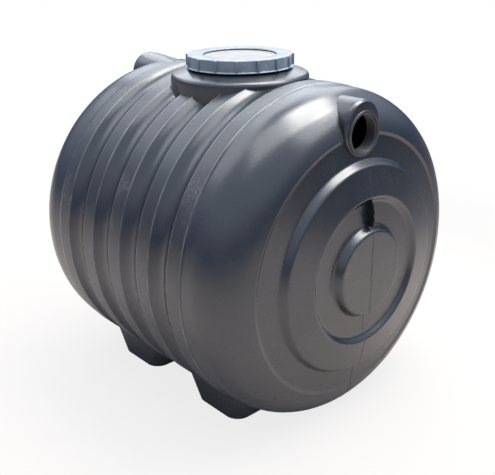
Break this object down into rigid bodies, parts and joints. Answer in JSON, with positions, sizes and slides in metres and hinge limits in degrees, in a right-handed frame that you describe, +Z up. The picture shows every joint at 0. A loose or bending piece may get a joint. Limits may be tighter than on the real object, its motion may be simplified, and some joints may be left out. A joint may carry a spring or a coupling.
{
  "type": "septic tank",
  "caption": "Horizontal ribbed polyethylene septic tank with stepped round ends, moulded feet, a screw-down manhole cover and pipe sockets with rubber seals.",
  "frame": {"origin": "middle of the footprint, on the ground", "axes": "+X along the tank towards the outlet end, +Z up"},
  "size_m": [1.205, 1.1, 1.1336],
  "materials": {
    "tank": "satin black moulded polyethylene",
    "ring": "satin grey moulded plastic",
    "cover": "satin pale plastic",
    "rubber": "satin black rubber"
  },
  "bodies": {
    "tank": {"barrel_back_bottom": "tank", "barrel_back_lower": "tank", "barrel_back_upper": "tank", "barrel_front_bottom": "tank", "barrel_front_lower": "tank", "barrel_front_upper": "tank", "barrel_top_back": "tank", "barrel_top_far": "tank", "barrel_top_front": "tank", "barrel_top_near": "tank", "cover_gasket": "rubber", "far_end": "tank", "far_fin": "tank", "far_foot": "tank", "far_shoulder_back": "tank", "far_shoulder_bottom": "tank", "far_shoulder_front": "tank", "far_shoulder_top": "tank", "inlet_seal": "rubber", "inlet_socket": "tank", "near_end": "tank", "near_fin": "tank", "near_foot": "tank", "near_shoulder_back": "tank", "near_shoulder_bottom": "tank", "near_shoulder_front": "tank", "near_shoulder_top": "tank", "neck_back": "tank", "neck_far": "tank", "neck_front": "tank", "neck_near": "tank", "outlet_seal": "rubber", "outlet_socket": "tank", "throat": "tank"},
    "cover": {"cover": "cover"},
    "ring": {"screw_ring": "ring"}
  },
  "joints": [
    {"name": "cover_lift", "type": "slide", "parent": "tank", "child": "cover", "axis": [0, 0, 1], "range_m": [0, 0.25]},
    {"name": "ring_turn", "type": "hinge", "parent": "cover", "child": "ring", "pos_m": [0, 0, 1.12], "axis": [0, 0, 1], "range_deg": [0, 360]}
  ]
}
